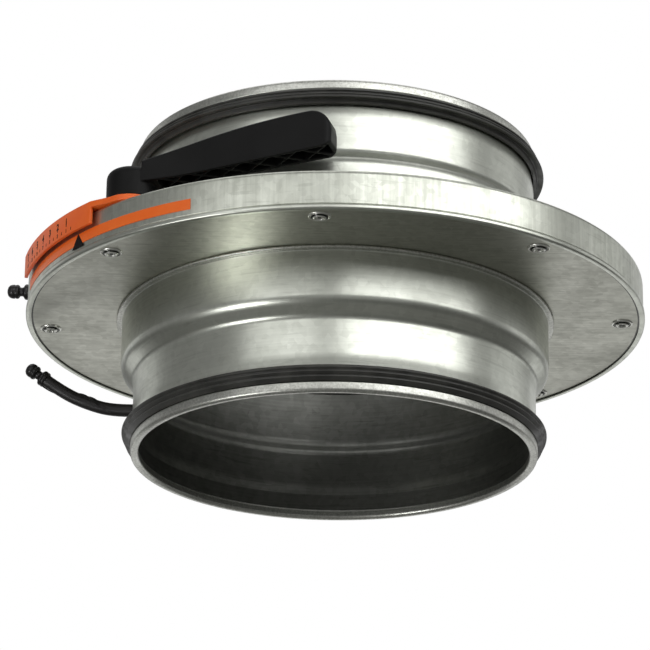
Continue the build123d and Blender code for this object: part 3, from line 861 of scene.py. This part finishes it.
bracketLook = {
    "grain": 0.3, "haze": 18.0, "light": "#ff7323", "dark": "#fa681b", "roughLow": 0.4, "roughHigh": 0.5,
    "bump": 0.12, "ior": 1.54, "gloss": 0.5,
}
labelLook = {
    "grain": 0.5, "haze": 14.0, "light": "#ff7a2c", "dark": "#fc7022", "roughLow": 0.3, "roughHigh": 0.42,
    "bump": 0.05, "ior": 1.5, "gloss": 0.5,
}
inkLook = {
    "grain": 0.5, "haze": 5.0, "light": "#0c0908", "dark": "#080605", "roughLow": 0.55, "roughHigh": 0.7,
    "bump": 0.05, "ior": 1.5, "gloss": 0.25,
}
gasketRubber = mouldedPlastic("extrudedRubber", rubberLook)
hoseRubber = mouldedPlastic("hoseRubber", hoseFinish)
capPlastic = mouldedPlastic("capPolyethylene", capLook)
leverPlastic = mouldedPlastic("leverPolyamide", leverLook)
bracketPlastic = mouldedPlastic("bracketAbs", bracketLook)
labelFilm = mouldedPlastic("labelVinyl", labelLook)
printInk = mouldedPlastic("printInk", inkLook)

# Where one piece shows two finishes, or a darker copy of its metal as painted shade: heights from the mouth,
# and distances from a rivet's middle
bandPlaces = {
    "foldTop": 4.2, "beadLow": 68.3, "beadTop": 70.1, "beadIn": 106.0, "hemTop": 71.9, "hemIn": 150.6,
    "plateTop": 70.2, "rivetTop": 70.1, "rivetBore": 1.25, "grooveIn": 3.25, "grooveOut": 4.1,
}


def finishSpigot(spigot, upper, at):
    wear(spigot, spunSteel)
    spigot.data.materials.append(crimpedSteel)
    spigot.data.materials.append(boreShadeSteel)

    # the inside of the bore above the fold gets the darker steel as painted shade
    def bore(r, z, out):
        return out < -0.2 and fromMouth(z, upper) > at["foldTop"]

    def crimp(r, z, out):
        high = fromMouth(z, upper)
        return high <= at["foldTop"] or at["beadLow"] < high < at["beadTop"] and r > at["beadIn"]

    bandFaces(spigot, 2, bore)
    bandFaces(spigot, 1, crimp)


def finishCasing(at):
    wear(casingPan, rimSteel)
    casingPan.data.materials.append(spunSteel)
    bandFaces(casingPan, 1, lambda r, z, out: z < at["hemTop"] and r > at["hemIn"])
    wear(bottomPlate, plateSteel)
    # the plate's underside under the hem gets the dark steel as painted shade
    bottomPlate.data.materials.append(paintedShadeSteel)
    bandFaces(bottomPlate, 1, lambda r, z, out: z < at["plateTop"] and r > plateSizes["seam"])


def finishRivets(at):
    # the bore and the groove round the head get the dark steel as painted shade
    wear(pivotRivets, platedSteel)
    pivotRivets.data.materials.append(paintedShadeSteel)
    places = [place.xy for place in pivotPlaces(plateSizes)]
    for face in pivotRivets.data.polygons:
        spot = face.center / mm
        off = min((spot.xy - place).length for place in places)
        if spot.z < at["rivetTop"] and (off < at["rivetBore"] or at["grooveIn"] < off < at["grooveOut"]):
            face.material_index = 1


finishSpigot(spigots[0], False, bandPlaces)
finishSpigot(spigots[1], True, bandPlaces)
finishCasing(bandPlaces)
finishRivets(bandPlaces)
for gasket in gaskets:
    wear(gasket, gasketRubber)
for hose, cap, strap in zip(hoses, caps, straps):
    wear(hose, hoseRubber)
    wear(cap, capPlastic)
    wear(strap, capPlastic)
wear(lever, leverPlastic)
wear(scaleBracket, bracketPlastic)
wear(scaleFigures, printInk)
wear(rimLabel, labelFilm)
wear(rimPointer, printInk)
wear(handleScrew, platedSteel)
wear(scaleRivet, platedSteel)

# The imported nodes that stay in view, by the start of their names
finishes = {
    "blade": bladeSteel, "drive_pin": platedSteel, "drive_ring": bladeSteel, "ring_guides": platedSteel,
    "handle_nut": platedSteel, "spacers": platedSteel, "lower_nipple": turnedBrass,
    "upper_nipple": turnedBrass,
}
for name, node in nodes.items():
    for start, finish in finishes.items():
        if name.startswith(start):
            wear(node, finish)
print("materials made")

# Studio: a pale floor far below the hanging damper, a white backdrop that lights as grey, and soft panels
studio = {"floor": -3.4, "floorSide": 30.0, "floorColour": "#a8a8a5", "floorGlow": 0.72, "sky": 0.2}
middle = (0, 0, 0.08)
# place and size in metres; bright is the radiance of the panel itself
panels = {
    "keyRight": {"place": (1.55, -1.9, 1.15), "size": (3.6, 1.5), "bright": 2.2},
    "fillLeft": {"place": (-1.25, -2.3, 1.0), "size": (1.9, 1.5), "bright": 1.1},
    "sideLeft": {"place": (-2.0, 2.0, 0.9), "size": (1.6, 1.6), "bright": 0.5},
    "lowLeft": {"place": (-2.0, -1.6, -1.3), "size": (0.9, 0.9), "bright": 8.0},
    "sideRight": {"place": (2.7, 1.2, 0.7), "size": (1.8, 1.8), "bright": 0.5},
    "lowFront": {"place": (0.5, -2.9, -0.75), "size": (3.0, 0.9), "bright": 0.16},
    "lowBack": {"place": (0, 2.6, -0.85), "size": (5.2, 1.1), "bright": 0.8},
    "backSoft": {"place": (0.6, 3.0, 1.2), "size": (3.0, 1.8), "bright": 0.5},
    "topSoft": {"place": (0, 0.3, 2.4), "size": (2.6, 2.2), "bright": 0.8},
}


def addFloor(s):
    # Matt paper: even and pale to the eye, and it throws little light back on the steel.
    half, high = s["floorSide"] / 2, s["floor"]
    mesh = bpy.data.meshes.new("floor")
    corners = [(-half, -half, high), (half, -half, high), (half, half, high), (-half, half, high)]
    mesh.from_pydata(corners, [], [(0, 1, 2, 3)])
    floor = bpy.data.objects.new("floor", mesh)
    scene.collection.objects.link(floor)
    material, tree, shader, inMm = startMaterial("paperFloor")
    grain = addNode(tree, "ShaderNodeTexNoise", {"Vector": inMm, "Scale": 0.02, "Detail": 2.0})
    rough = addNode(tree, "ShaderNodeMapRange", {0: grain.outputs[0], 3: 0.8, 4: 0.95})
    tree.links.new(rough.outputs[0], shader.inputs["Roughness"])
    shader.inputs["Base Color"].default_value = sheetColour(s["floorColour"])
    shader.inputs["Emission Color"].default_value = (1, 1, 0.99, 1)
    seen = addNode(tree, "ShaderNodeLightPath").outputs["Is Camera Ray"]
    glow = addNode(tree, "ShaderNodeMath", {0: seen, 1: s["floorGlow"]}, operation="MULTIPLY").outputs[0]
    tree.links.new(glow, shader.inputs["Emission Strength"])
    wear(floor, material)


def addWorld(s):
    world = bpy.data.worlds.new("studio")
    world.use_nodes = True
    tree = world.node_tree
    tree.nodes.clear()
    seen = addNode(tree, "ShaderNodeLightPath").outputs["Is Camera Ray"]
    dim = addNode(tree, "ShaderNodeBackground", {"Color": (1, 1, 1, 1), "Strength": s["sky"]}).outputs[0]
    white = addNode(tree, "ShaderNodeBackground", {"Color": (1, 1, 1, 1), "Strength": 1.0}).outputs[0]
    both = addNode(tree, "ShaderNodeMixShader", {0: seen, 1: dim, 2: white}).outputs[0]
    addNode(tree, "ShaderNodeOutputWorld", {"Surface": both})
    scene.world = world


def addPanel(name, look, aim):
    light = bpy.data.lights.new(name, "AREA")
    light.shape = "RECTANGLE"
    light.size, light.size_y = look["size"]
    light.energy = look["bright"] * math.pi * look["size"][0] * look["size"][1]
    lamp = bpy.data.objects.new(name, light)
    lamp.location = look["place"]
    lamp.visible_camera = False
    lamp.rotation_mode = "QUATERNION"
    lamp.rotation_quaternion = (Vector(aim) - Vector(look["place"])).to_track_quat("-Z", "Y")
    scene.collection.objects.link(lamp)


addFloor(studio)
addWorld(studio)
for name, look in panels.items():
    addPanel(name, look, middle)
scene.view_settings.view_transform = "Standard"
scene.view_settings.look = "None"
print("studio made")
